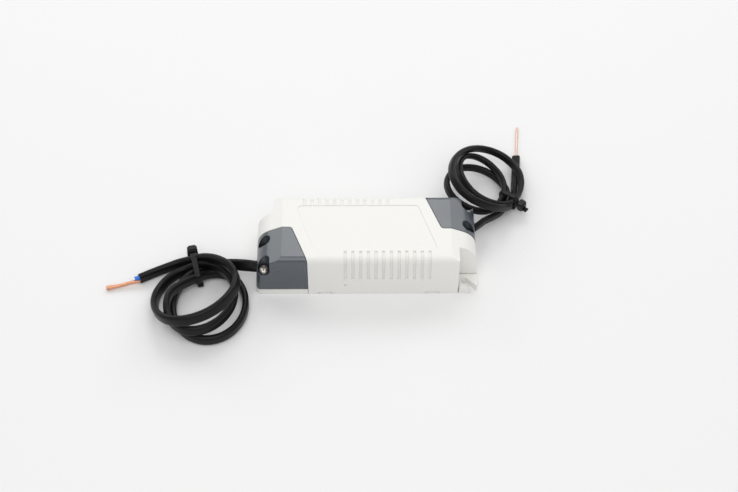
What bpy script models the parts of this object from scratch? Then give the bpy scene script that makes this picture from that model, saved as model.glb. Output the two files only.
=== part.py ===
"""An independent LED driver with two short coiled leads, modelled in metres with +Z up.

The origin is at the middle of the case's underside. +X runs along the case, from the mains
lead to the lamp lead, and -Y is the front. The case is the same after half a turn about Z:
each end has one grey cover over its wiring compartment and one white corner with an ear.
"""
import math

import bmesh
import bpy
from mathutils import Matrix, Vector

MM = 0.001

# Case: overall sizes
LENGTH = 111.0 * MM
WIDTH = 42.0 * MM
HEIGHT = 26.5 * MM
WALL = 1.8 * MM
SEAM = 0.3 * MM
EDGE_ROUND = 2.8 * MM
END_ROUND = 0.6 * MM

# Case: the curved-down ends
END_RUN = 13.3 * MM
END_SLOPE = math.radians(24.5)
END_ARC = 11.6 * MM
END_DRAFT = math.radians(3.0)
ARC_STEPS = 8
ROUND_STEPS = 4
EDGE_STEPS = 6

# Grey covers, as seen from above
COVER_REACH = 0.7 * MM
COVER_TOP_LENGTH = 18.2 * MM
COVER_SIDE_LENGTH = 26.35 * MM
COVER_CORNER = 2.0 * MM
COVER_WALL = 1.8 * MM
COVER_END_CORNER = 2.5 * MM
CORNER_GRACE = 0.02 * MM

# White corners: notch and mounting ear
NOTCH_LENGTH = 9.6 * MM
NOTCH_WIDTH = 9.6 * MM
NOTCH_ROUND = 0.9 * MM
EAR_HEIGHT = 3.5 * MM
EAR_PAD = 0.25 * MM
EAR_CORNER = 2.6 * MM
EAR_SLOT_WIDTH = 3.9 * MM
EAR_SLOT_END_INSET = 6.4 * MM
EAR_SLOT_SIDE_INSET = 5.0 * MM
EAR_CHAMFER = 3.6 * MM

# Screws and their pockets
SCREW_END_INSET = 4.5 * MM
SCREW_INNER_INSET = 5.4 * MM
SCREW_OUTER_INSET = 3.4 * MM
POCKET_RADIUS = 3.05 * MM
POCKET_FLOOR = 14.5 * MM
POCKET_FLOOR_WALL = 1.3 * MM
POCKET_WALL = 1.1 * MM
RIB_THICK = 3.0 * MM
SCREW_HEAD_RADIUS = 2.7 * MM
SCREW_HEAD_HEIGHT = 2.1 * MM
SCREW_SHANK_RADIUS = 1.2 * MM
SCREW_LENGTH = 9.0 * MM
SCREW_BOSS_WALL = 0.6 * MM

# Label recess on the top
RECESS_HALF_WIDTH = 14.5 * MM
RECESS_REAR_REACH = 26.0 * MM
RECESS_FRONT_REACH = 35.4 * MM
RECESS_CORNER = 2.2 * MM
RECESS_DEPTH = 0.25 * MM

# Vent grooves over the long top edges
VENT_COUNT = 12
VENT_FIRST = -10.6 * MM
VENT_PITCH = 3.8 * MM
VENT_WIDTH = 1.3 * MM
VENT_DEPTH = 0.6 * MM
VENT_TOP_REACH = 5.9 * MM
VENT_FOOT = 11.5 * MM
PIP_HEIGHT = 6.7 * MM
PIP_RADIUS = 0.6 * MM

# Snap joints between housing and tray
SNAP_CENTRES = (-20.7 * MM, 32.8 * MM)
SNAP_WIDTH = 6.5 * MM
SNAP_NOTCH_HEIGHT = 1.2 * MM
HOOK_WIDTH = 5.0 * MM
HOOK_THICK = 1.1 * MM
HOOK_HEIGHT = 9.0 * MM
HOOK_BARB = 0.8 * MM

# Tray and circuit board
FLOOR = 2.0 * MM
POST_RADIUS = 2.1 * MM
POST_INSET = 4.5 * MM
PEG_RADIUS = 0.9 * MM
BOARD_END_ROOM = 12.0 * MM
BOARD_SIDE_ROOM = 4.0 * MM
BOARD_THICK = 1.6 * MM
BOARD_UNDERSIDE = 5.0 * MM
PARTITION_FOOT = 9.0 * MM

# Flat leads: width over thickness, and where they leave the case
INPUT_LEAD = (5.4 * MM, 3.2 * MM)
OUTPUT_LEAD = (4.0 * MM, 2.7 * MM)
LEAD_EXIT_SHIFT = 0.15 * MM
LEAD_MOUTH_GAP = 0.6 * MM
LEAD_EXIT_HEIGHT = 10.1 * MM
CORE_DIAMETER = 2.2 * MM
TERMINAL_PITCH = 5.0 * MM
WIRE_DIAMETER = 1.5 * MM

# Routes of the leads outside their coils, in millimetres from where each leaves the case
INPUT_START_ROUTE = [(8.8, 0.1, 10.1), (4.5, 0.1, 10.1), (0.3, 0.2, 10.1), (-3.2, 0.9, 9.8), (-7.2, 2.1, 8.5)]
INPUT_END_ROUTE = [(-46.2, 3.9, 3), (-50, 2.1, 2.9), (-54.4, -0.2, 2.9), (-58.7, -2.6, 2.9)]
INPUT_CORE_ROUTE = [(-59.1, -2.7, 4.4), (-60.8, -3.4, 3.9)]
INPUT_WIRE_ROUTE = [(-59.2, -3, 2.1), (-63.4, -4.3, 1.8), (-69.4, -5.8, 1.3), (-74.9, -7.1, 1)]
OUTPUT_START_ROUTE = [(-8.7, -0.2, 10.1), (-5, 0.1, 10.1), (-2.3, 0.6, 10.1), (-0.3, 1.3, 10), (2.1, 3.6, 9.5),
                      (6.2, 9.5, 7.5)]
OUTPUT_END_ROUTE = [(22.7, 50.2, 1.6), (23.8, 54.9, 1.4), (24.6, 59, 1.4)]
OUTPUT_WIRE_ROUTE = [(24.7, 59.4, 1), (25.2, 64.4, 0.9), (25.8, 71.9, 0.8), (26.6, 80.5, 0.8)]

# Coils, in millimetres from the same points: the ring that each takes up, with the direction of its tie and of its highest side
INPUT_COIL = {"centre": (-26.8, -16.4), "outer": (24.9, 27.3), "inner": (10.6, 12.2), "tie_at": 100.0,
              "high_at": 260.0, "low": (1.6, 0.0), "top": (7.4, 14.8)}
OUTPUT_COIL = {"centre": (6.2, 33.9), "outer": (20.6, 22.9), "inner": (9.5, 11.5), "tie_at": -39.6,
               "high_at": 198.0, "low": (0.1, 7.4), "top": (4.0, 28.9)}
TIE_WIDTH = 3.5 * MM
TIE_THICK = 1.1 * MM
TIE_HEAD = (5.6 * MM, 4.6 * MM, 6.2 * MM)

# Parts on the board: their places as shares of its half length and half width
PLACES = {"fuse": (-0.895, 0.518), "varistor": (-0.667, 0.294), "x_capacitor": (-0.609, 0.729),
          "choke": (0.0, -0.618), "bridge_rectifier": (-0.437, 0.0), "bulk_capacitor": (-0.184, 0.5),
          "heat_sink": (0.0, -0.676), "controller_chip": (-0.046, -0.153), "transformer": (0.299, 0.176),
          "optocoupler": (0.333, -0.676), "y_capacitor": (0.299, 0.824), "output_diode": (0.517, -0.47),
          "output_capacitor_front": (0.678, -0.729), "output_capacitor_rear": (0.655, 0.088),
          "output_choke": (0.885, -0.447)}

# Parts on the board: plan sizes, and the tall ones' heights as shares of the room above the board
TOP_CLEARANCE = 1.8 * MM
TERMINAL_INSET = 0.6 * MM
TERMINAL_SIZE = (10.4 * MM, 10.0 * MM)
FUSE_RADIUS = 4.0 * MM
FUSE_HEIGHT = 7.8 * MM
VARISTOR_SIZE = (4.8 * MM, 3.6 * MM)
X_CAPACITOR_SIZE = (13.0 * MM, 6.0 * MM)
CHOKE_LIMB = 3.0 * MM
CHOKE_WINDING = 1.7 * MM
CHOKE_GAPS = (2.1 * MM, 0.6 * MM)
BRIDGE_SIZE = (8.0 * MM, 6.4 * MM, 3.4 * MM)
BULK_RADIUS = 6.2 * MM
SINK_LENGTH = 18.0 * MM
SINK_THICK = 1.6 * MM
SINK_FIN = 4.0 * MM
TRANSISTOR_SIZE = (10.0 * MM, 4.0 * MM, 9.5 * MM)
CONTROLLER_SIZE = (5.0 * MM, 4.0 * MM, 1.6 * MM)
TRANSFORMER_SIZE = (20.0 * MM, 6.0 * MM)
TRANSFORMER_LIMB = 3.0 * MM
OPTOCOUPLER_SIZE = (6.4 * MM, 6.2 * MM, 3.4 * MM)
Y_CAPACITOR_SIZE = (4.0 * MM, 3.0 * MM)
DIODE_SIZE = (4.2 * MM, 7.0 * MM, 5.0 * MM)
OUTPUT_CAN_RADII = (3.9 * MM, 3.2 * MM)
DRUM_RADIUS = 4.5 * MM
DRUM_HEIGHT = 10.0 * MM
HEIGHT_SHARES = {"bulk": 1.0, "transformer": 0.94, "sink": 0.94, "front_can": 0.86, "choke": 0.81, "x_capacitor": 0.75,
                 "rear_can": 0.75}

HALF_L = LENGTH / 2
HALF_W = WIDTH / 2
HALF_TURN = math.pi
SCREW_X = -(HALF_L - SCREW_END_INSET)
SCREW_INNER_Y = COVER_REACH - SCREW_INNER_INSET
SCREW_OUTER_Y = -(HALF_W - SCREW_OUTER_INSET)
LEAD_EXIT_Y = (SCREW_INNER_Y + SCREW_OUTER_Y) / 2 + LEAD_EXIT_SHIFT
COVER_FOOT = EAR_HEIGHT + SEAM
HOLE_RADIUS = SCREW_SHANK_RADIUS + SEAM
BOSS_RADIUS = HOLE_RADIUS + SCREW_BOSS_WALL
BOARD_LENGTH = LENGTH - 2 * BOARD_END_ROOM
BOARD_WIDTH = WIDTH - 2 * BOARD_SIDE_ROOM
BOARD_TOP = BOARD_UNDERSIDE + BOARD_THICK
SEAT = BOARD_TOP + SEAM
HEADROOM = HEIGHT - WALL - TOP_CLEARANCE - SEAT
CLEAR = 5.0 * MM

WHITE = ("white_polycarbonate", (0.86, 0.86, 0.84), 0.38, 0.0)
GREY = ("grey_cover_plastic", (0.17, 0.19, 0.21), 0.42, 0.0)
NICKEL = ("nickel_plated_steel", (0.72, 0.69, 0.64), 0.28, 1.0)
BLACK = ("black_moulding", (0.02, 0.02, 0.022), 0.45, 0.0)
SHEATH = ("black_lead_sheath", (0.015, 0.015, 0.017), 0.42, 0.0)
BLUE = ("blue_core_insulation", (0.02, 0.16, 0.72), 0.4, 0.0)
BROWN = ("brown_core_insulation", (0.16, 0.06, 0.025), 0.4, 0.0)
COPPER = ("bare_copper", (0.85, 0.42, 0.24), 0.32, 1.0)
BOARD = ("circuit_board_laminate", (0.05, 0.22, 0.09), 0.5, 0.0)
GREEN = ("green_terminal_plastic", (0.05, 0.35, 0.14), 0.45, 0.0)
FERRITE = ("ferrite", (0.06, 0.06, 0.065), 0.6, 0.0)
TAPE = ("yellow_winding_tape", (0.85, 0.62, 0.08), 0.4, 0.0)
YELLOW = ("yellow_film_capacitor", (0.85, 0.66, 0.15), 0.45, 0.0)
DISC_BLUE = ("blue_disc_ceramic", (0.05, 0.2, 0.5), 0.4, 0.0)
DISC_RED = ("red_disc_varistor", (0.45, 0.05, 0.03), 0.4, 0.0)
SLEEVE = ("capacitor_sleeve", (0.03, 0.035, 0.05), 0.35, 0.0)
ALUMINIUM = ("aluminium", (0.8, 0.8, 0.82), 0.35, 1.0)


# Scene and object helpers

def clear_scene():
    for obj in list(bpy.data.objects):
        bpy.data.objects.remove(obj, do_unlink=True)


def material(spec):
    name, colour, roughness, metallic = spec
    found = bpy.data.materials.get(name)
    if found:
        return found
    mat = bpy.data.materials.new(name)
    mat.use_nodes = True
    shader = mat.node_tree.nodes["Principled BSDF"]
    shader.inputs["Base Color"].default_value = (*colour, 1.0)
    shader.inputs["Roughness"].default_value = roughness
    shader.inputs["Metallic"].default_value = metallic
    mat.diffuse_color = (*colour, 1.0)
    return mat


def add(name, bm, spec, turn=0.0):
    """Link a bmesh as a named piece, turned about Z by the given angle."""
    bmesh.ops.recalc_face_normals(bm, faces=bm.faces)
    mesh = bpy.data.meshes.new(name)
    bm.to_mesh(mesh)
    bm.free()
    obj = bpy.data.objects.new(name, mesh)
    obj.rotation_euler.z = turn
    bpy.context.scene.collection.objects.link(obj)
    mesh.materials.append(material(spec))
    mesh.shade_smooth()
    mesh.set_sharp_from_angle(angle=math.radians(35))
    return obj


def cutter(name, bm, turn=0.0):
    """Link a bmesh as a hidden cutting tool."""
    obj = add("tool_" + name, bm, BLACK, turn)
    obj.hide_render = True
    obj.display_type = "WIRE"
    return obj


def boolean(obj, tool, operation="DIFFERENCE"):
    mod = obj.modifiers.new(operation.title(), "BOOLEAN")
    mod.operation = operation
    mod.solver = "EXACT"
    mod.object = tool


# Shape helpers

def rounded(corners, steps=ROUND_STEPS):
    """Turn (x, y, radius) corners into outline points with an arc at each radius."""
    points = []
    for i, (x, y, radius) in enumerate(corners):
        here = Vector((x, y))
        if radius <= 0:
            points.append(here)
            continue
        before = Vector(corners[i - 1][:2])
        after = Vector(corners[(i + 1) % len(corners)][:2])
        to_a = (before - here).normalized()
        to_b = (after - here).normalized()
        half = to_a.angle(to_b) / 2
        reach = radius / math.tan(half)
        centre = here + (to_a + to_b).normalized() * (radius / math.sin(half))
        start = here + to_a * reach - centre
        sweep = start.angle_signed(here + to_b * reach - centre)
        for k in range(steps + 1):
            points.append(centre + Matrix.Rotation(-sweep * k / steps, 2) @ start)
    return points


def extruded(points, low, high, axis="Z"):
    """A prism: the outline runs in the plane across the axis, in the order of the other two."""
    order = {"X": (2, 0, 1), "Y": (0, 2, 1), "Z": (0, 1, 2)}[axis]
    bm = bmesh.new()
    rows = []
    for level in (low, high):
        row = []
        for p in points:
            local = (p[0], p[1], level)
            row.append(bm.verts.new([local[i] for i in order]))
        rows.append(row)
    bm.faces.new(rows[0])
    bm.faces.new(rows[1])
    count = len(points)
    for i in range(count):
        j = (i + 1) % count
        bm.faces.new((rows[0][i], rows[0][j], rows[1][j], rows[1][i]))
    return bm


def rectangle(x0, x1, y0, y1, radius=0.0):
    return rounded([(x0, y0, radius), (x1, y0, radius), (x1, y1, radius), (x0, y1, radius)])


def circle(x, y, radius, sides):
    step = 2 * math.pi / sides
    return [(x + radius * math.cos(i * step), y + radius * math.sin(i * step)) for i in range(sides)]


def block(x0, x1, y0, y1, z0, z1, radius=0.0):
    return extruded(rectangle(x0, x1, y0, y1, radius), z0, z1)


def turned(profile, sides, x=0.0, y=0.0, z=0.0):
    """Spin an (r, z) profile about the vertical through x, y. Radius 0 is a point on the axis."""
    bm = bmesh.new()
    rings = []
    for radius, height in profile:
        if radius <= 0:
            rings.append([bm.verts.new((x, y, z + height))])
        else:
            rings.append([bm.verts.new((px, py, z + height)) for px, py in circle(x, y, radius, sides)])
    for a, b in zip(rings, rings[1:]):
        for i in range(sides):
            j = (i + 1) % sides
            if len(a) == 1:
                bm.faces.new((a[0], b[j], b[i]))
            elif len(b) == 1:
                bm.faces.new((a[i], a[j], b[0]))
            else:
                bm.faces.new((a[i], a[j], b[j], b[i]))
    for ring in (rings[0], rings[-1]):
        if len(ring) > 1:
            bm.faces.new(ring)
    return bm


def merged(*parts):
    """Put several separate solids into one bmesh, for cutting tools."""
    out = bmesh.new()
    for part in parts:
        mesh = bpy.data.meshes.new("part")
        bmesh.ops.recalc_face_normals(part, faces=part.faces)
        part.to_mesh(mesh)
        part.free()
        out.from_mesh(mesh)
        bpy.data.meshes.remove(mesh)
    return out


# The case's outer form

def side_outline(inset, foot, top):
    """The case seen from the front: two curved ends moved inwards by inset, and a flat top at the given height."""
    crease = HALF_L - END_RUN
    slope_normal = Vector((math.sin(END_SLOPE), math.cos(END_SLOPE)))
    end_normal = Vector((math.cos(END_DRAFT), math.sin(END_DRAFT)))
    system = Matrix((slope_normal, end_normal))
    reach = Vector((slope_normal.dot((crease, HEIGHT)) - END_ARC, end_normal.dot((HALF_L, 0.0)) - END_ARC))
    centre = system.inverted() @ reach
    radius = END_ARC - inset
    right = [((radius + end_normal.dot(centre) - end_normal.y * foot) / end_normal.x, foot)]
    for k in range(ARC_STEPS + 1):
        angle = END_DRAFT + (math.pi / 2 - END_SLOPE - END_DRAFT) * k / ARC_STEPS
        right.append((centre.x + radius * math.cos(angle), centre.y + radius * math.sin(angle)))
    right.append(((radius + slope_normal.dot(centre) - slope_normal.y * top) / slope_normal.x, top))
    return right + [(-x, z) for x, z in reversed(right)]


def case_form(inset=0.0, edge=EDGE_ROUND, foot=0.0):
    """The side outline carried across the width: the top's long edges rounded, the ends' edges softened."""
    stations = []
    for k in range(EDGE_STEPS + 1):
        angle = math.pi / 2 * (1 - k / EDGE_STEPS)
        from_side = edge * (1 - math.sin(angle))
        soften = END_ROUND - math.sqrt(END_ROUND ** 2 - max(END_ROUND - from_side, 0.0) ** 2)
        stations.append((-(HALF_W - inset - from_side), inset + soften, HEIGHT - inset - edge * (1 - math.cos(angle))))
    stations += [(-y, depth, top) for y, depth, top in reversed(stations)]
    bm = bmesh.new()
    rows = [[bm.verts.new((x, y, z)) for x, z in side_outline(depth, foot, top)] for y, depth, top in stations]
    for a, b in zip(rows, rows[1:]):
        for i in range(len(a)):
            j = (i + 1) % len(a)
            bm.faces.new((a[i], a[j], b[j], b[i]))
    bm.faces.new(rows[0])
    bm.faces.new(rows[-1])
    return bm


def both_ways(corners):
    """An outline that is the same after half a turn, from its first half."""
    return rounded(corners + [(-x, -y, r) for x, y, r in corners])


def housing_plan(inset):
    """The white housing from above, without its cover corners and notches, moved inwards by inset."""
    out = CLEAR if inset <= 0 else -inset
    diagonal = Vector((COVER_SIDE_LENGTH - COVER_TOP_LENGTH, -(HALF_W + COVER_REACH)))
    across = Vector((-diagonal.y, diagonal.x)).normalized()
    knee = Vector((-HALF_L + COVER_TOP_LENGTH, COVER_REACH)) + across * inset
    along = diagonal / -diagonal.y
    front = knee + along * (knee.y + HALF_W + out)
    knee += along * (knee.y - (COVER_REACH + inset))
    notch_x = HALF_L - NOTCH_LENGTH - inset
    notch_y = -(HALF_W - NOTCH_WIDTH) + inset
    lip = NOTCH_ROUND
    corners = [(front.x, -(HALF_W + out), 0.0)]
    if inset <= 0:
        corners += [(notch_x - lip, -(HALF_W + out), 0.0), (notch_x - lip, -HALF_W, 0.0)]
        corners += [(notch_x - lip * 0.293, -HALF_W + lip * 0.293, 0.0), (notch_x, -HALF_W + lip, 0.0)]
    else:
        corners += [(notch_x, -(HALF_W + out), 0.0)]
    corners += [(notch_x, notch_y, lip), (HALF_L + out, notch_y, 0.0)]
    corners += [(HALF_L + out, -COVER_REACH - inset, 0.0), (-knee.x, -knee.y, COVER_CORNER + inset)]
    return both_ways(corners)


def partition_x(y):
    """Where the seam between the input cover and the housing runs at the given y."""
    share = (COVER_REACH - y) / (HALF_W + COVER_REACH)
    return -HALF_L + COVER_TOP_LENGTH + (COVER_SIDE_LENGTH - COVER_TOP_LENGTH) * share


def cover_plan(gap):
    """The input cover from above: its two outer sides run past the case, its inner sides keep a gap."""
    diagonal = Vector((COVER_SIDE_LENGTH - COVER_TOP_LENGTH, -(HALF_W + COVER_REACH)))
    across = Vector((-diagonal.y, diagonal.x)).normalized()
    along = diagonal / -diagonal.y
    knee = Vector((-HALF_L + COVER_TOP_LENGTH, COVER_REACH)) - across * gap
    front = knee + along * (knee.y + HALF_W + CLEAR)
    knee += along * (knee.y - (COVER_REACH - gap))
    far = HALF_L + CLEAR
    return rounded([(-far, -(HALF_W + CLEAR), 0.0), (front.x, front.y, 0.0),
                    (knee.x, knee.y, max(COVER_CORNER - gap, 0.0)), (-far, knee.y, 0.0)])


def cover_corner():
    """What the cover's corner loses: the square corner outside a round one that leans with the end."""
    low, high = -CLEAR, HEIGHT + CLEAR
    rows = []
    bm = bmesh.new()
    for level in (low, high):
        end = -HALF_L + level * math.tan(END_DRAFT) - CORNER_GRACE
        front = -HALF_W - CORNER_GRACE
        arc = rounded([(end, front + CLEAR, 0.0), (end, front, COVER_END_CORNER), (end + CLEAR, front, 0.0)],
                      EDGE_STEPS)
        outline = arc + [(end + CLEAR, front - CLEAR), (end - CLEAR, front - CLEAR), (end - CLEAR, front + CLEAR)]
        rows.append([bm.verts.new((p[0], p[1], level)) for p in outline])
    bm.faces.new(rows[0])
    bm.faces.new(rows[1])
    for i in range(len(rows[0])):
        j = (i + 1) % len(rows[0])
        bm.faces.new((rows[0][i], rows[0][j], rows[1][j], rows[1][i]))
    return bm


def tray_plan(gap):
    """The tray from above: full width under the covers and at the ears, inside the housing's walls elsewhere."""
    step_y = -(HALF_W - WALL - SEAM) - gap
    near = -HALF_L + COVER_SIDE_LENGTH - SEAM + gap
    ear = HALF_L - NOTCH_LENGTH + SEAM - gap
    full_x, full_y = HALF_L + gap, HALF_W + gap
    return both_ways([(-full_x, -full_y, EAR_CORNER), (near, -full_y, 0.0), (near, step_y, 0.0),
                      (ear, step_y, 0.0), (ear, -full_y, 0.0), (full_x, -full_y, EAR_CHAMFER)])


# Moulded parts of the case

def vent_tool(turn):
    """Grooves over the long edge: slots that stop short of an inner copy of the case."""
    slots = []
    for i in range(VENT_COUNT):
        x = VENT_FIRST + VENT_PITCH * i
        slots.append(block(x - VENT_WIDTH / 2, x + VENT_WIDTH / 2, -(HALF_W + CLEAR), -(HALF_W - VENT_TOP_REACH),
                           VENT_FOOT, HEIGHT + CLEAR))
    tool = cutter("vents", merged(*slots), turn)
    boolean(tool, cutter("vent_floor", case_form(VENT_DEPTH, EDGE_ROUND, -CLEAR), turn))
    return tool


def snap_notches(turn):
    half = SNAP_WIDTH / 2
    outer = -(HALF_W + CLEAR)
    inner = -(HALF_W - WALL - SEAM / 2)
    notches = [block(x - half, x + half, outer, inner, -CLEAR, SNAP_NOTCH_HEIGHT) for x in SNAP_CENTRES]
    reach = HOOK_BARB + SEAM
    top = HOOK_HEIGHT + SEAM
    keep = [block(x - half, x + half, -(HALF_W - WALL + reach), inner, top - 2 * reach, top) for x in SNAP_CENTRES]
    pip = extruded(circle(VENT_FIRST, PIP_HEIGHT, PIP_RADIUS, 10), -(HALF_W + CLEAR), -(HALF_W - PIP_RADIUS), "Y")
    return cutter("snaps", merged(*notches, *keep, pip), turn)


def build_housing():
    housing = add("top_housing", case_form(), WHITE)
    boolean(housing, cutter("housing_plan", extruded(housing_plan(0.0), -CLEAR, HEIGHT + CLEAR)), "INTERSECT")
    hollow = cutter("housing_hollow", case_form(WALL, EDGE_ROUND - SEAM, -CLEAR))
    boolean(hollow, cutter("hollow_plan", extruded(housing_plan(WALL), -2 * CLEAR, HEIGHT + CLEAR)), "INTERSECT")
    boolean(housing, hollow)
    boolean(housing, cutter("tray_room", extruded(tray_plan(SEAM / 2), -CLEAR, COVER_FOOT)))
    side = HALF_W - WALL - SEAM
    reach = HALF_L - COVER_SIDE_LENGTH + WALL + CLEAR
    under = block(-HALF_L + WALL + CLEAR, -reach + 2 * CLEAR, -side, COVER_REACH + WALL + SEAM, -CLEAR, PARTITION_FOOT)
    for turn in (0.0, HALF_TURN):
        boolean(housing, cutter("under_partition", under.copy(), turn))
        boolean(housing, vent_tool(turn))
        boolean(housing, snap_notches(turn))
    under.free()
    rear_x, front_x = RECESS_REAR_REACH, RECESS_FRONT_REACH
    recess = both_ways([(front_x, -RECESS_HALF_WIDTH, RECESS_CORNER), (rear_x, RECESS_HALF_WIDTH, RECESS_CORNER)])
    boolean(housing, cutter("label_recess", extruded(recess, HEIGHT - RECESS_DEPTH, HEIGHT + CLEAR)))
    return housing


def pocket_posts(low):
    """The walls around the screw pockets, from their floor up."""
    radius = POCKET_RADIUS + POCKET_WALL
    return [extruded(circle(SCREW_X, y, radius, 20), low, HEIGHT + CLEAR) for y in (SCREW_INNER_Y, SCREW_OUTER_Y)]


def build_cover(name, lead, turn):
    """A cover: top and two outer walls, two screw pockets, and a rib that presses on the lead."""
    cover = add(name, case_form(), GREY, turn)
    boolean(cover, cutter("cover_plan", extruded(cover_plan(SEAM), COVER_FOOT, HEIGHT + CLEAR), turn), "INTERSECT")
    boolean(cover, cutter("cover_corner", cover_corner(), turn))
    hollow = cutter("cover_hollow", case_form(COVER_WALL, EDGE_ROUND - SEAM, -CLEAR), turn)
    for post in pocket_posts(POCKET_FLOOR - POCKET_FLOOR_WALL):
        boolean(hollow, cutter("pocket_post", post, turn))
    mouth_half = INPUT_LEAD[0] / 2 + LEAD_MOUTH_GAP
    mouth_top = LEAD_EXIT_HEIGHT + INPUT_LEAD[1] / 2 + SEAM
    rib = block(SCREW_X - RIB_THICK / 2, SCREW_X + RIB_THICK / 2, LEAD_EXIT_Y - mouth_half, LEAD_EXIT_Y + mouth_half,
                LEAD_EXIT_HEIGHT + lead[1] / 2 + SEAM, HEIGHT + CLEAR)
    boolean(hollow, cutter("grip_rib", rib, turn))
    boolean(cover, hollow)
    bores = [extruded(circle(SCREW_X, y, POCKET_RADIUS, 24), POCKET_FLOOR, HEIGHT + CLEAR)
             for y in (SCREW_INNER_Y, SCREW_OUTER_Y)]
    holes = [extruded(circle(SCREW_X, y, HOLE_RADIUS, 12), -CLEAR, POCKET_FLOOR + SEAM)
             for y in (SCREW_INNER_Y, SCREW_OUTER_Y)]
    for bore, hole in zip(bores, holes):
        boolean(cover, cutter("pocket_bore", bore, turn))
        boolean(cover, cutter("screw_hole", hole, turn))
    round_floor = [math.pi * (1 + k / 12) for k in range(13)]
    front_gap = [(SCREW_X + POCKET_RADIUS * math.cos(a), POCKET_FLOOR + SEAM / 3 + POCKET_RADIUS * (1 + math.sin(a)))
                 for a in round_floor]
    front_gap += [(SCREW_X + POCKET_RADIUS, HEIGHT + CLEAR), (SCREW_X - POCKET_RADIUS, HEIGHT + CLEAR)]
    boolean(cover, cutter("open_pocket", extruded(front_gap, -(HALF_W + CLEAR), SCREW_OUTER_Y, "Y"), turn))
    for y in (SCREW_INNER_Y, SCREW_OUTER_Y):
        boss_room = extruded(circle(SCREW_X, y, BOSS_RADIUS + SEAM, 16), -CLEAR, POCKET_FLOOR - POCKET_FLOOR_WALL)
        boolean(cover, cutter("boss_room", boss_room, turn))
    soft = INPUT_LEAD[1] / 3
    mouth = rounded([(LEAD_EXIT_Y - mouth_half, -CLEAR, 0.0), (LEAD_EXIT_Y + mouth_half, -CLEAR, 0.0),
                     (LEAD_EXIT_Y + mouth_half, mouth_top, soft), (LEAD_EXIT_Y - mouth_half, mouth_top, soft)])
    boolean(cover, cutter("lead_mouth", extruded(mouth, -(HALF_L + CLEAR), -(HALF_L - CLEAR), "X"), turn))
    return cover


def hook(x, side):
    """A snap hook: its outline in Y and Z, carried along X."""
    outer = -(HALF_W - WALL - SEAM)
    inner = outer + HOOK_THICK
    outline = [(outer, FLOOR / 2), (inner, FLOOR / 2), (inner, HOOK_HEIGHT), (outer, HOOK_HEIGHT),
               (outer - HOOK_BARB, HOOK_HEIGHT - HOOK_BARB), (outer, HOOK_HEIGHT - HOOK_BARB * 1.6)]
    points = [(side * y, z) for y, z in outline]
    return extruded(points, side * x - HOOK_WIDTH / 2, side * x + HOOK_WIDTH / 2, "X")


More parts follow.
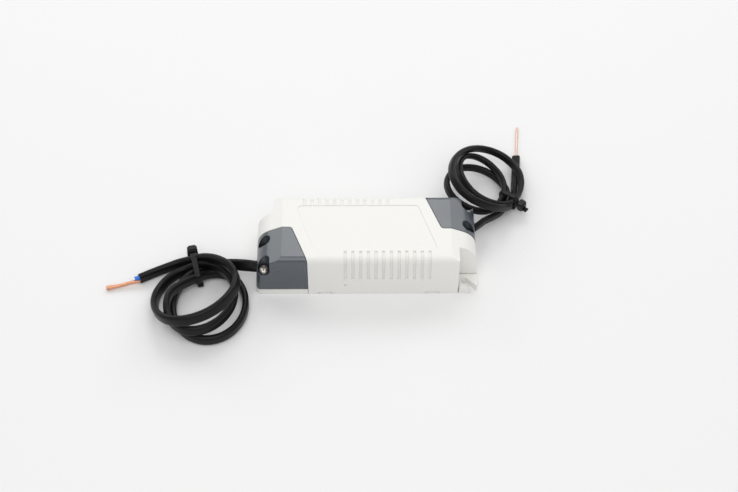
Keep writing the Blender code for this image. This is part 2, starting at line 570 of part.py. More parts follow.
def build_tray():
    """The tray: rim, sunk floor, slotted ears, screw bosses, lead saddles, board posts and snap hooks."""
    tray = add("base_tray", extruded(tray_plan(0.0), 0.0, EAR_HEIGHT), WHITE)
    well_x, well_y = BOARD_LENGTH / 2 + SEAM, BOARD_WIDTH / 2
    boolean(tray, cutter("floor_well", block(-well_x, well_x, -well_y, well_y, FLOOR, EAR_HEIGHT + CLEAR, 2.0 * MM)))
    diagonal = Matrix.Rotation(-math.pi / 4, 4, "Z")
    inner_end = Vector((HALF_L - EAR_SLOT_END_INSET, -(HALF_W - EAR_SLOT_SIDE_INSET), 0.0))
    half = EAR_SLOT_WIDTH / 2
    slot_outline = [Vector((half * math.cos(a), half * math.sin(a), 0.0)) for a in
                    [math.pi / 2 + math.pi * k / 8 for k in range(9)]]
    slot_outline += [Vector((4 * half, -half, 0.0)), Vector((4 * half, half, 0.0))]
    slot = [inner_end + diagonal @ p for p in slot_outline]
    pad_x, pad_y = HALF_L - NOTCH_LENGTH + 2 * SEAM, -(HALF_W - NOTCH_WIDTH) - SEAM
    pad = rounded([(pad_x, -HALF_W, 0.0), (HALF_L, -HALF_W, EAR_CHAMFER), (HALF_L, pad_y, 0.0), (pad_x, pad_y, 0.0)])
    pegs = []
    for turn in (0.0, HALF_TURN):
        boolean(tray, cutter("ear_pad", extruded(pad, EAR_HEIGHT / 2, EAR_HEIGHT + EAR_PAD), turn), "UNION")
        boolean(tray, cutter("ear_slot", extruded(slot, -CLEAR, EAR_HEIGHT + CLEAR), turn))
        for y in (SCREW_INNER_Y, SCREW_OUTER_Y):
            boss_top = POCKET_FLOOR - POCKET_FLOOR_WALL - SEAM
            boss = extruded(circle(SCREW_X, y, BOSS_RADIUS, 16), FLOOR, boss_top)
            boolean(tray, cutter("screw_boss", boss, turn), "UNION")
            pilot = extruded(circle(SCREW_X, y, HOLE_RADIUS, 12), FLOOR, boss_top + CLEAR)
            boolean(tray, cutter("pilot_hole", pilot, turn))
    saddle_half = INPUT_LEAD[0] / 2
    for turn, lead in ((0.0, INPUT_LEAD), (HALF_TURN, OUTPUT_LEAD)):
        saddle_top = LEAD_EXIT_HEIGHT - lead[1] / 2 - SEAM
        saddle = block(-HALF_L + WALL / 3, SCREW_X + BOSS_RADIUS, LEAD_EXIT_Y - saddle_half, LEAD_EXIT_Y + saddle_half,
                       FLOOR, saddle_top)
        boolean(tray, cutter("lead_saddle", saddle, turn), "UNION")
        for x in SNAP_CENTRES:
            side = 1 if turn == 0.0 else -1
            boolean(tray, cutter("snap_hook", hook(x, side)), "UNION")
            tab_half = SNAP_WIDTH / 2 - SEAM
            tab = block(x - tab_half, x + tab_half, -HALF_W, -(HALF_W - WALL - CLEAR), 0.0, SNAP_NOTCH_HEIGHT - SEAM)
            boolean(tray, cutter("snap_tab", tab, turn), "UNION")
    for sx in (-1, 1):
        for sy in (-1, 1):
            x, y = sx * (BOARD_LENGTH / 2 - POST_INSET), sy * (BOARD_WIDTH / 2 - POST_INSET)
            shoulder = BOARD_UNDERSIDE - SEAM - FLOOR / 2
            pegs.append(turned([(POST_RADIUS, 0.0), (POST_RADIUS, shoulder), (PEG_RADIUS, shoulder),
                                (PEG_RADIUS, BOARD_TOP - FLOOR / 2 - PEG_RADIUS / 2),
                                (PEG_RADIUS / 2, BOARD_TOP - FLOOR / 2)], 12, x, y, FLOOR / 2))
    for peg in pegs:
        boolean(tray, cutter("board_post", peg), "UNION")
    return tray


def build_screw(name, x, y, turn):
    """A pan-head screw with a cross recess, its head resting on the pocket floor."""
    seat = POCKET_FLOOR + SEAM / 2
    r, h = SCREW_HEAD_RADIUS, SCREW_HEAD_HEIGHT
    profile = [(0.0, -SCREW_LENGTH), (SCREW_SHANK_RADIUS * 0.4, -SCREW_LENGTH + 0.8 * MM),
               (SCREW_SHANK_RADIUS, -SCREW_LENGTH + 2.2 * MM), (SCREW_SHANK_RADIUS, 0.0), (r, 0.0),
               (r, h * 0.45), (r * 0.9, h * 0.75), (r * 0.62, h * 0.94), (0.0, h)]
    screw = add(name, turned(profile, 16, x, y, seat), NICKEL, turn)
    arm, slot, depth = r * 0.6, r * 0.11, h * 0.55
    long_x = block(x - arm, x + arm, y - slot, y + slot, seat + h - depth, seat + h + CLEAR)
    long_y = block(x - slot, x + slot, y - arm, y + arm, seat + h - depth, seat + h + CLEAR)
    boolean(screw, cutter("cross_a", long_x, turn))
    boolean(screw, cutter("cross_b", long_y, turn))
    return screw


# Circuit board and what stands on it

def build_board():
    half_x, half_y = BOARD_LENGTH / 2, BOARD_WIDTH / 2
    board = add("circuit_board", block(-half_x, half_x, -half_y, half_y, BOARD_UNDERSIDE, BOARD_TOP, 1.5 * MM), BOARD)
    holes = []
    for sx in (-1, 1):
        for sy in (-1, 1):
            x, y = sx * (half_x - POST_INSET), sy * (half_y - POST_INSET)
            holes.append(extruded(circle(x, y, PEG_RADIUS + SEAM, 12), 0.0, BOARD_TOP + CLEAR))
    boolean(board, cutter("board_holes", merged(*holes)))
    return board


def build_box_part(name, x, y, size, spec, corner=0.5 * MM):
    """A moulded block on the board with rounded corners and a lightly chamfered top."""
    sx, sy, sz = size
    rise = min(corner, sz / 4)
    body = bmesh.new()
    rows = []
    for inset, z in ((0.0, SEAT), (0.0, SEAT + sz - rise), (rise * 0.7, SEAT + sz)):
        outline = rectangle(x - sx / 2 + inset, x + sx / 2 - inset, y - sy / 2 + inset, y + sy / 2 - inset,
                            max(corner - inset, corner / 2))
        rows.append([body.verts.new((p[0], p[1], z)) for p in outline])
    for a, b in zip(rows, rows[1:]):
        for i in range(len(a)):
            j = (i + 1) % len(a)
            body.faces.new((a[i], a[j], b[j], b[i]))
    body.faces.new(rows[0])
    body.faces.new(rows[-1])
    return add(name, body, spec)


def build_terminal(name, turn):
    """A two-pole screw terminal: wire mouths towards the lead and screw wells on top."""
    long_y, high = TERMINAL_SIZE
    outer = -(BOARD_LENGTH / 2) + TERMINAL_INSET
    long_x = partition_x(LEAD_EXIT_Y + long_y / 2) - TERMINAL_INSET - outer
    x = outer + long_x / 2
    block_part = build_box_part(name, x, LEAD_EXIT_Y, (long_x, long_y, high), GREEN)
    block_part.rotation_euler.z = turn
    for side in (-0.5, 0.5):
        y = LEAD_EXIT_Y + side * TERMINAL_PITCH
        mouth = block(x - long_x, x, y - 1.5 * MM, y + 1.5 * MM,
                      LEAD_EXIT_HEIGHT - 1.5 * MM, LEAD_EXIT_HEIGHT + 1.5 * MM)
        boolean(block_part, cutter("wire_mouth", mouth, turn))
        well = turned([(1.5 * MM, 0.0), (1.5 * MM, high)], 12, x + long_x * 0.15, y, SEAT + high - 1.5 * MM)
        boolean(block_part, cutter("screw_well", well, turn))
    return block_part


def build_can(name, x, y, radius, high):
    """An aluminium electrolytic capacitor in its sleeve: rolled groove and a sunk top."""
    neck = radius * 0.92
    unit = high / 16
    profile = [(radius * 0.9, 0.0), (radius, 0.5 * unit), (radius, 1.4 * unit), (neck, 1.9 * unit),
               (neck, 2.3 * unit), (radius, 2.8 * unit), (radius, high - 0.6 * unit), (radius * 0.9, high),
               (radius * 0.84, high - 0.25 * unit), (0.0, high - 0.25 * unit)]
    return add(name, turned(profile, 20, x, y, SEAT), SLEEVE)


def build_disc(name, x, y, radius, thick, spec, along="Y"):
    """A dipped disc standing on edge: a spun lens shape laid over."""
    profile = [(0.0, -thick / 2), (radius * 0.8, -thick / 2), (radius * 0.95, -thick / 4), (radius, 0.0),
               (radius * 0.95, thick / 4), (radius * 0.8, thick / 2), (0.0, thick / 2)]
    bm = turned(profile, 20)
    lay = Matrix.Rotation(math.pi / 2, 4, "X" if along == "Y" else "Y")
    bmesh.ops.transform(bm, matrix=Matrix.Translation((x, y, SEAT + radius)) @ lay, verts=bm.verts)
    return add(name, bm, spec)


def build_choke(y, sink_x):
    """The common-mode choke, in the room between the partition and the heat sink: a frame and two windings."""
    limb, reach = CHOKE_LIMB, CHOKE_LIMB / 2 + CHOKE_WINDING
    high = HEADROOM * HEIGHT_SHARES["choke"]
    left = partition_x(y - reach) + WALL + CHOKE_GAPS[0]
    right = sink_x - SINK_LENGTH / 2 - CHOKE_GAPS[1]
    x, long_x = (left + right) / 2, right - left - 2 * CHOKE_WINDING
    core = extruded(rectangle(x - long_x / 2, x + long_x / 2, SEAT, SEAT + high, 0.4 * MM),
                    y - limb / 2, y + limb / 2, "Y")
    frame = add("choke_core", core, FERRITE)
    window = extruded(rectangle(x - long_x / 2 + limb, x + long_x / 2 - limb, SEAT + limb, SEAT + high - limb),
                      y - 2 * limb, y + 2 * limb, "Y")
    boolean(frame, cutter("choke_window", window))
    room = limb / 2 + SEAM
    low = SEAT + limb + SEAM
    top = SEAT + high - limb - SEAM
    for name, side in (("choke_winding_left", -1), ("choke_winding_right", 1)):
        centre = x + side * (long_x / 2 - limb / 2)
        body = block(centre - reach, centre + reach, y - reach, y + reach, low, top, 1.2 * MM)
        winding = add(name, body, COPPER)
        hole = block(centre - room, centre + room, y - room, y + room, low - CLEAR, top + CLEAR)
        boolean(winding, cutter("winding_hole", hole))


def build_transformer(x, y):
    """The transformer: an E-shaped ferrite pair around a wound bobbin with a pin rail."""
    long_x, deep = TRANSFORMER_SIZE
    high = HEADROOM * HEIGHT_SHARES["transformer"]
    limb, middle = TRANSFORMER_LIMB, 2 * TRANSFORMER_LIMB
    low = SEAT + 0.6 * MM
    core = add("transformer_core", extruded(rectangle(x - long_x / 2, x + long_x / 2, low, low + high, 0.4 * MM),
                                            y - deep / 2, y + deep / 2, "Y"), FERRITE)
    for side in (-1, 1):
        near, far = x + side * middle / 2, x + side * (long_x / 2 - limb)
        window = extruded(rectangle(min(near, far), max(near, far), low + limb, low + high - limb),
                          y - 2 * deep, y + 2 * deep, "Y")
        boolean(core, cutter("core_window", window))
    reach_x = long_x / 2 - limb - SEAM
    reach_y = deep / 2 + reach_x - middle / 2
    z0, z1 = low + limb + SEAM, low + high - limb - SEAM
    bobbin = add("transformer_bobbin", block(x - reach_x, x + reach_x, y - reach_y, y + reach_y, z0, z1, 1.0 * MM), TAPE)
    room_x, room_y = middle / 2 + SEAM, deep / 2 + SEAM
    hole = block(x - room_x, x + room_x, y - room_y, y + room_y, z0 - CLEAR, z1 + CLEAR)
    boolean(bobbin, cutter("bobbin_hole", hole))
    for side in (-1, 1):
        y0, y1 = y + side * (deep / 2 + SEAM), y + side * reach_y
        rail = block(x - reach_x, x + reach_x, min(y0, y1), max(y0, y1), SEAT, z0 + SEAM)
        boolean(bobbin, cutter("pin_rail", rail), "UNION")


def build_heat_sink(x, y):
    """A folded aluminium heat sink with cut fins, and the transistor screwed to its face."""
    long_x, thick, fin = SINK_LENGTH, SINK_THICK, SINK_FIN
    high = HEADROOM * HEIGHT_SHARES["sink"]
    outline = [(x - long_x / 2, y), (x + long_x / 2, y), (x + long_x / 2, y - fin), (x + long_x / 2 - thick, y - fin),
               (x + long_x / 2 - thick, y - thick), (x - long_x / 2 + thick, y - thick),
               (x - long_x / 2 + thick, y - fin), (x - long_x / 2, y - fin)]
    sink = add("heat_sink", extruded(outline, SEAT, SEAT + high), ALUMINIUM)
    slots = []
    for k in range(4):
        cx = x - long_x / 2 + long_x * (k + 1) / 5
        slots.append(block(cx - 0.7 * MM, cx + 0.7 * MM, y - 2 * fin, y + fin, SEAT + high * 0.72, SEAT + 2 * high))
    boolean(sink, cutter("sink_slots", merged(*slots)))
    body_y = y + SEAM
    wide, deep, tall = TRANSISTOR_SIZE
    package = add("switching_transistor", extruded(
        rectangle(x - wide / 2, x + wide / 2, SEAT + 2.5 * MM, SEAT + 2.5 * MM + tall, 0.5 * MM),
        body_y, body_y + deep, "Y"), BLACK)
    for k in (-1, 0, 1):
        leg = block(x + k * 2.54 * MM - 0.4 * MM, x + k * 2.54 * MM + 0.4 * MM, body_y + 1.4 * MM, body_y + 2.0 * MM,
                    SEAT, SEAT + 3.0 * MM)
        boolean(package, cutter("transistor_leg", leg), "UNION")


def build_chip(name, x, y, size, pins):
    """A moulded chip with a row of legs along each long side."""
    sx, sy, sz = size
    chip = add(name, block(x - sx / 2, x + sx / 2, y - sy / 2, y + sy / 2, SEAT + 0.3 * MM, SEAT + sz, 0.3 * MM), BLACK)
    pitch = sx / pins
    for k in range(pins):
        cx = x - sx / 2 + pitch * (k + 0.5)
        foot = block(cx - pitch / 5, cx + pitch / 5, y - sy / 2 - 1.0 * MM, y + sy / 2 + 1.0 * MM,
                     SEAT, SEAT + sz * 0.45)
        boolean(chip, cutter("chip_legs", foot), "UNION")
    return chip


def build_drum_choke(x, y):
    """The output choke: a drum core with its winding between two flanges."""
    r, waist, high, flange = DRUM_RADIUS, DRUM_RADIUS * 0.87, DRUM_HEIGHT, DRUM_HEIGHT * 0.13
    profile = [(r, 0.0), (r, flange), (waist, flange), (waist, high - flange), (r, high - flange), (r, high)]
    return add("output_choke", turned(profile, 20, x, y, SEAT), FERRITE)


def place(name):
    """Where a part stands, in metres, from its share of the board."""
    share_x, share_y = PLACES[name]
    return share_x * BOARD_LENGTH / 2, share_y * BOARD_WIDTH / 2


def build_electronics():
    build_board()
    build_terminal("input_terminal_block", 0.0)
    build_terminal("output_terminal_block", HALF_TURN)
    r, high = FUSE_RADIUS, FUSE_HEIGHT
    fuse_profile = [(r * 0.95, 0.0), (r, 0.4 * MM), (r, high * 0.92), (r * 0.86, high)]
    add("fuse", turned(fuse_profile, 16, *place("fuse"), SEAT), BLACK)
    build_disc("varistor", *place("varistor"), *VARISTOR_SIZE, DISC_RED)
    build_box_part("x_capacitor", *place("x_capacitor"),
                   (*X_CAPACITOR_SIZE, HEADROOM * HEIGHT_SHARES["x_capacitor"]), YELLOW, 0.8 * MM)
    build_choke(place("choke")[1], place("heat_sink")[0])
    build_chip("bridge_rectifier", *place("bridge_rectifier"), BRIDGE_SIZE, 2)
    build_can("bulk_capacitor", *place("bulk_capacitor"), BULK_RADIUS, HEADROOM * HEIGHT_SHARES["bulk"])
    build_heat_sink(*place("heat_sink"))
    build_chip("controller_chip", *place("controller_chip"), CONTROLLER_SIZE, 4)
    build_transformer(*place("transformer"))
    build_chip("optocoupler", *place("optocoupler"), OPTOCOUPLER_SIZE, 2)
    build_disc("y_capacitor", *place("y_capacitor"), *Y_CAPACITOR_SIZE, DISC_BLUE)
    build_box_part("output_diode", *place("output_diode"), DIODE_SIZE, BLACK)
    build_can("output_capacitor_front", *place("output_capacitor_front"), OUTPUT_CAN_RADII[0],
              HEADROOM * HEIGHT_SHARES["front_can"])
    build_can("output_capacitor_rear", *place("output_capacitor_rear"), OUTPUT_CAN_RADII[1],
              HEADROOM * HEIGHT_SHARES["rear_can"])
    build_drum_choke(*place("output_choke"))


# Leads, coils and ties

def from_exit(point, side):
    """A point given in millimetres from where the input (-1) or output (1) lead leaves the case, placed."""
    return (point[0] + side * HALF_L / MM, point[1] - side * LEAD_EXIT_Y / MM, *point[2:])


def smooth_route(route, spacing):
    """Points at about the given spacing on a smooth curve through the route's points, in metres."""
    points = [Vector(p) * MM for p in route]
    times = [0.0]
    for a, b in zip(points, points[1:]):
        times.append(times[-1] + (b - a).length)
    last = len(points) - 1
    slopes = []
    for i in range(last + 1):
        a, b = max(i - 1, 0), min(i + 1, last)
        slopes.append((points[b] - points[a]) / (times[b] - times[a]))
    out = [points[0]]
    for i in range(last):
        span = times[i + 1] - times[i]
        count = max(1, round(span / spacing))
        for k in range(1, count + 1):
            t = k / count
            out.append(points[i] * (2 * t ** 3 - 3 * t ** 2 + 1) + slopes[i] * span * (t ** 3 - 2 * t ** 2 + t)
                       + points[i + 1] * (3 * t ** 2 - 2 * t ** 3) + slopes[i + 1] * span * (t ** 3 - t ** 2))
    return out


def build_tube(name, route, diameter, spec):
    """A plain round tube along a route, as a curve with a bevel and filled caps."""
    points = smooth_route(route, 2.5 * diameter)
    curve = bpy.data.curves.new(name, "CURVE")
    curve.dimensions = "3D"
    curve.bevel_depth = diameter / 2
    curve.bevel_resolution = 2
    curve.use_fill_caps = True
    spline = curve.splines.new("POLY")
    spline.points.add(len(points) - 1)
    for target, point in zip(spline.points, points):
        target.co = (*point, 1.0)
    obj = bpy.data.objects.new(name, curve)
    bpy.context.scene.collection.objects.link(obj)
    curve.materials.append(material(spec))
    return obj


def between(pair, share):
    return (pair[0] + (pair[1] - pair[0]) * share) * MM


def coil_section(coil, angle, swell=0.0):
    """A coil's inner and outer reach from its centre, and its lowest and highest level, at an angle."""
    reach = []
    for rx, ry in (coil["inner"], coil["outer"]):
        reach.append(MM / math.hypot(math.cos(angle) / rx, math.sin(angle) / ry))
    share = (1 + math.cos(angle - math.radians(coil["high_at"]))) / 2
    low, top = between(coil["low"], share), between(coil["top"], share)
    return reach[0] - swell, reach[1] + swell, low - swell, top + swell


def build_coil(name, coil, side, steps=40):
    """The outer shape of a coil: one closed ring whose height changes on the way round."""
    bm = bmesh.new()
    rows = []
    cx, cy = from_exit(coil["centre"], side)
    for i in range(steps):
        angle = 2 * math.pi * i / steps
        inner, outer, low, top = coil_section(coil, angle)
        soft = min(outer - inner, top - low) * 0.25
        outline = [(inner, low + soft), (inner + soft, low), (outer - soft, low), (outer, low + soft),
                   (outer, top - soft), (outer - soft, top), (inner + soft, top), (inner, top - soft)]
        rows.append([bm.verts.new((cx * MM + r * math.cos(angle), cy * MM + r * math.sin(angle), z))
                     for r, z in outline])
    for i in range(steps):
        a, b = rows[i], rows[(i + 1) % steps]
        for k in range(8):
            m = (k + 1) % 8
            bm.faces.new((a[k], a[m], b[m], b[k]))
    return add(name, bm, SHEATH)


def build_tie(name, coil, side, head_lift):
    """A cable tie around the coil: strap, ratchet head on the outer side and the strap's cut end."""
    angle = math.radians(coil["tie_at"])
    half = TIE_WIDTH / 2
    wrap = TIE_THICK
    spread = math.asin(half / (coil["inner"][0] * MM))
    sections = [coil_section(coil, angle + spread * k / 4, SEAM) for k in range(-5, 6)]
    inner = min(s[0] for s in sections) * math.cos(spread)
    outer = max(s[1] for s in sections)
    low = min(s[2] for s in sections)
    top = max(s[3] for s in sections)
    strap = extruded(rounded([(inner - wrap, low - wrap, wrap), (outer + wrap, low - wrap, wrap),
                              (outer + wrap, top + wrap, wrap), (inner - wrap, top + wrap, wrap)]),
                     -half, half, "Y")
    tie = add(name, strap, BLACK)
    cx, cy = from_exit(coil["centre"], side)
    tie.location = (cx * MM, cy * MM, 0.0)
    tie.rotation_euler.z = angle
    window = extruded(rectangle(inner, outer, low, top), -CLEAR, CLEAR, "Y")
    long_h, thick_h, high_h = TIE_HEAD
    head_x = outer + wrap * 0.5
    head_z = low + head_lift * (top - low)
    head = block(head_x, head_x + thick_h, -long_h / 2, long_h / 2, head_z, head_z + high_h, 0.6 * MM)
    stub = block(head_x + thick_h / 2, head_x + thick_h + 2.0 * MM, -half, half,
                 head_z + high_h / 2 - wrap / 2, head_z + high_h / 2 + wrap / 2)
    for label, shape, operation in (("window", window, "DIFFERENCE"), ("head", head, "UNION"), ("stub", stub, "UNION")):
        tool = cutter("tie_" + label, shape)
        tool.location = tie.location
        tool.rotation_euler.z = angle
        boolean(tie, tool, operation)
    return tie


def build_leads():
    for name, route, side, diameter, spec in (
            ("input_lead", INPUT_START_ROUTE, -1, INPUT_LEAD[1], SHEATH),
            ("input_lead_end", INPUT_END_ROUTE, -1, INPUT_LEAD[1], SHEATH),
            ("input_blue_core", INPUT_CORE_ROUTE, -1, CORE_DIAMETER, BLUE),
            ("input_bare_wire", INPUT_WIRE_ROUTE, -1, WIRE_DIAMETER, COPPER),
            ("output_lead", OUTPUT_START_ROUTE, 1, OUTPUT_LEAD[1], SHEATH),
            ("output_lead_end", OUTPUT_END_ROUTE, 1, OUTPUT_LEAD[1], SHEATH),
            ("output_bare_wire", OUTPUT_WIRE_ROUTE, 1, WIRE_DIAMETER, COPPER)):
        build_tube(name, [from_exit(point, side) for point in route], diameter, spec)
    build_coil("input_lead_coil", INPUT_COIL, -1)
    build_coil("output_lead_coil", OUTPUT_COIL, 1)
    build_tie("input_cable_tie", INPUT_COIL, -1, 0.6)
    build_tie("output_cable_tie", OUTPUT_COIL, 1, 0.1)


def build_cores():
    """The leads' cores from the end of each sheath into its terminal block."""
    for lead, turn, colours in (("input", 1, (BLUE, BROWN)), ("output", -1, (BLACK, BLACK))):
        start = from_exit(INPUT_START_ROUTE[0], -1) if turn == 1 else from_exit(OUTPUT_START_ROUTE[0], 1)
        for side, colour, label in ((-0.5, colours[0], "core_front"), (0.5, colours[1], "core_rear")):
            mouth = TERMINAL_PITCH / MM * side
            x0 = turn * start[0] + 0.4
            y0 = turn * start[1] + 0.62 * side * CORE_DIAMETER / MM * 2
            y1 = LEAD_EXIT_Y / MM + mouth
            x1 = -(BOARD_LENGTH / 2) / MM + 2.0
            points = [(x0, y0, start[2]), (x0 + 1.3, (y0 * 2 + y1) / 3, start[2]), (x1 - 1.0, y1, start[2]),
                      (x1, y1, start[2])]
            route = [(turn * x, turn * y, z) for x, y, z in points]
            build_tube(lead + "_" + label, route, CORE_DIAMETER * 0.9, colour)


def build_case():
    build_tray()
    build_housing()
    for name, lead, turn in (("input", INPUT_LEAD, 0.0), ("output", OUTPUT_LEAD, HALF_TURN)):
        build_cover(name + "_cover", lead, turn)
        build_screw(name + "_cover_screw_inner", SCREW_X, SCREW_INNER_Y, turn)
        build_screw(name + "_cover_screw_outer", SCREW_X, SCREW_OUTER_Y, turn)


clear_scene()
build_case()
build_electronics()
build_cores()
build_leads()
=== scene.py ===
"""Looks of the LED driver: finishes of the case and circuit, leads and ties, camera and light."""
import math
from collections import namedtuple

import bmesh
import bpy
import numpy as np
from mathutils import Matrix, Vector


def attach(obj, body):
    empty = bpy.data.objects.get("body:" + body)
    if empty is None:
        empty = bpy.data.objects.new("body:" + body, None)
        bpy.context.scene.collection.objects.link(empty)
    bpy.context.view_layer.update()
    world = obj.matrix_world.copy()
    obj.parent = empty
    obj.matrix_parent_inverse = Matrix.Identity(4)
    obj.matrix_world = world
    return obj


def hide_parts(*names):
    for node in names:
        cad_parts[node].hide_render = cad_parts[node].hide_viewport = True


MM = 0.001
BODY = "root"
UP = Vector((0.0, 0.0, 1.0))

# Camera: the photograph's viewing angle
IMAGE_WIDTH = 738
SENSOR_WIDTH = 36.0
FOCAL_PIXELS = 1699.6
CAMERA_PITCH = math.radians(50.794)
CAMERA_YAW = math.radians(0.34)
CAMERA_ROLL = math.radians(0.09)
CAMERA_AIM = Vector((1.22, -0.07, 12.0)) * MM
CAMERA_DISTANCE = 856.7 * MM

# Light: an even surround, three soft boxes high behind the driver and a large one above the camera
WORLD_LEVEL = 0.53
LIGHTS = {
    "back_light": {"place": (0.0, 0.70, 0.85), "size": 0.5, "watts": 2.15},
    "left_light": {"place": (-0.64, 0.70, 0.56), "size": 0.5, "watts": 1.45},
    "right_light": {"place": (0.64, 0.70, 0.56), "size": 0.5, "watts": 1.3},
    "front_light": {"place": (0.0, -0.55, 1.15), "size": 1.2, "watts": 6.6},
}
FLOOR_COLOUR = (0.873, 0.873, 0.873)
FLOOR_ROUGHNESS = 0.9
FLOOR_HALF_SIZE = 3.0
FLOOR_DROP = 0.05 * MM

# A turn of a coil, in millimetres: an oval in plan (centre, half axes, turned by degrees). Its
# plane is given by the height at the centre and the rise along X and Y. The strand leans in by
# lean degrees from standing square to that plane.
Turn = namedtuple("Turn", "centre axes turned plane lean")

# Leads: width and thickness of the flat section in metres, and the route in millimetres. A lead
# leaves the case with its width along start_wide and stands on edge at its start's mark number
# upright. The knots are where it passes under the tie, on arrival and after each turn. At its cut
# end its width lies along end_wide.
INPUT_LEAD = {
    "size": (6.0 * MM, 3.3 * MM),
    "start": [(-46.7, -11.2, 10.1), (-51.0, -11.3, 10.1), (-55.2, -11.3, 9.9), (-58.7, -10.6, 9.6),
              (-62.7, -9.2, 8.4), (-66.9, -7.3, 6.5), (-72.0, -5.9, 4.6), (-78.4, -6.8, 3.3)],
    "start_wide": Vector((0.0, 1.0, 0.0)),
    "upright": 7,
    "turns": [Turn((-78.1, -30.6), (17.9, 21.3), -3, (3.2, 0.0, 0.0), 0),
              Turn((-82.0, -29.3), (16.2, 21.6), -14, (6.7, 0.06, -0.12), 0),
              Turn((-84.6, -27.7), (19.9, 22.1), -30, (11.2, 0.30, -0.26), 0)],
    "knots": [(-85.6, -10.4, 4.1), (-85.2, -14.0, 4.1), (-86.3, -6.8, 4.1), (-87.4, -2.8, 4.3)],
    "end": [(-94.8, -3.9, 3.0), (-101.7, -7.1, 2.9), (-107.9, -10.2, 2.9), (-114.2, -13.6, 2.9)],
    "end_wide": UP,
}
OUTPUT_LEAD = {
    "size": (4.4 * MM, 2.9 * MM),
    "start": [(47.0, 10.6, 10.1), (50.5, 10.9, 10.1), (53.2, 11.8, 10.1), (55.2, 13.2, 10.2),
              (57.7, 15.8, 9.6), (60.3, 19.0, 8.5), (65.6, 24.4, 5.9), (70.1, 29.4, 4.1)],
    "start_wide": Vector((-0.2, 0.98, 0.0)),
    "upright": 3,
    "turns": [Turn((57.6, 42.3), (15.7, 15.3), 0, (6.6, -0.29, -0.04), 0),
              Turn((60.5, 45.3), (12.2, 17.0), 10, (10.9, -0.58, -0.15), 30),
              Turn((62.5, 44.2), (17.2, 24.5), -25, (14.4, -0.58, -0.16), 8)],
    "knots": [(73.2, 36.4, 3.4), (71.0, 38.6, 5.2), (76.2, 33.3, 7.7), (75.5, 34.5, 3.4)],
    "end": [(77.2, 42.0, 3.0), (77.8, 46.5, 2.6), (78.3, 51.0, 2.2), (79.0, 57.2, 2.0),
            (79.6, 63.4, 1.7), (80.1, 69.1, 1.5)],
    "end_wide": Vector((1.0, -0.15, 0.2)),
}

# How a lead is drawn: its start's last flat mark, the steps of a turn and the angle in which the
# turn eases over to a knot, the gap under a strand in millimetres, the distance between points,
# and the steps of the section's round ends with the waist between them
LAST_FLAT_MARK = 1
TURN_STEPS = 24
EASE_DEGREES = 75.0
FLOOR_GAP = 0.1
LEAD_SPACING = 1.0 * MM
LEAD_ROUND_STEPS = 6
LEAD_WAIST = 0.9

# Strands that pass each other closer than their thickness are parted along the line of sight: the
# rounds and the share of each step, the points to each side that share a step and smooth it, the
# length over which a strand isn't parted from itself, the points after a knot where the next isn't
# looked for, and the distances from a knot, in millimetres, at which parting starts and is full
PART_ROUNDS = 30
PART_SHARE = 0.5
PART_SPREAD = 9
PART_SMOOTH = 17
PART_SAME_STRAND = 25 * MM
KNOT_POINTS_APART = 30
TIE_REACH = (9.0, 20.0)

# Bare ends: routes in millimetres. The strands of a wire are twisted, and its cut end spreads by
# the factor flare over its last quarter.
INPUT_CORE = {"route": [(-113.8, -13.2, 4.0), (-116.5, -14.2, 3.7)], "radius": 1.1 * MM}
INPUT_WIRE = {
    "route": [(-113.9, -14.1, 2.0), (-117.9, -15.4, 2.4), (-121.4, -16.1, 1.8),
              (-125.9, -17.2, 1.5), (-130.4, -18.1, 1.4)],
    "radius": 1.0 * MM, "strands": 7, "twists": 4.5, "flare": 1.5,
}
OUTPUT_WIRE = {
    "route": [(80.0, 68.2, 1.4), (80.7, 75.4, 1.1), (81.3, 82.9, 0.9), (82.1, 91.5, 0.85)],
    "radius": 0.65 * MM, "strands": 6, "twists": 5.0, "flare": 1.15,
}
CORE_SPACING = 0.4 * MM
CORE_SIDES = 14
WIRE_SPACING = 0.5 * MM
STRAND_SIDES = 6
STRAND_SHARE = 0.42
FLARE_FROM = 0.75

# Ties, in millimetres: the loop's centre, the direction in which the strands pass through it, the
# direction from there to the head, the strap's width and thickness, and the head and cut end
INPUT_TIE = {
    "centre": (-86.2, -8.0, 0.0), "across": (0.97, 0.22, 0.0), "radial": (-0.22, 0.97, 0.0),
    "strap": (3.0, 1.0),
    "head": {"place": (-88.2, 0.9, 7.0), "size": (5.6, 4.4, 6.4)},
    "stub": {"place": (-83.4, -16.2, 1.6), "size": (3.0, 2.6, 1.0)},
}
OUTPUT_TIE = {
    "centre": (74.8, 35.2, 5.0), "across": (0.68, 0.73, 0.1), "radial": (0.73, -0.68, 0.0),
    "strap": (2.6, 1.0),
    "head": {"place": (80.4, 31.6, 6.0), "size": (4.8, 4.0, 5.4)},
    "stub": {"place": (82.4, 29.6, 5.0), "size": (2.6, 2.4, 1.0)},
}

# How a tie is drawn: how far from its centre its strands may be, the steps round them, the
# distance from them to the strap's middle, its slanted edges as a share of its thickness, the
# least step and the spacing of its points, the points before it may close, and the blocks' form
TIE_SPAN = 16 * MM
TIE_STEPS = 48
STRAP_GAP = 0.5 * MM
STRAP_EDGE = 0.35
STRAP_STEP_LEAST = 0.15 * MM
STRAP_SPACING = 0.6 * MM
STRAP_POINTS_LEAST = 8
HEAD_TAPER = 0.86
HEAD_ROUNDING = 0.16
HEAD_ROUND_STEPS = 3

SMOOTH_DEGREES = 35
WIRE_SMOOTH_DEGREES = 60
BEVEL_SAMPLES = 6


# Curves and sweeps

def in_metres(values):
    return [Vector(value) * MM for value in values]


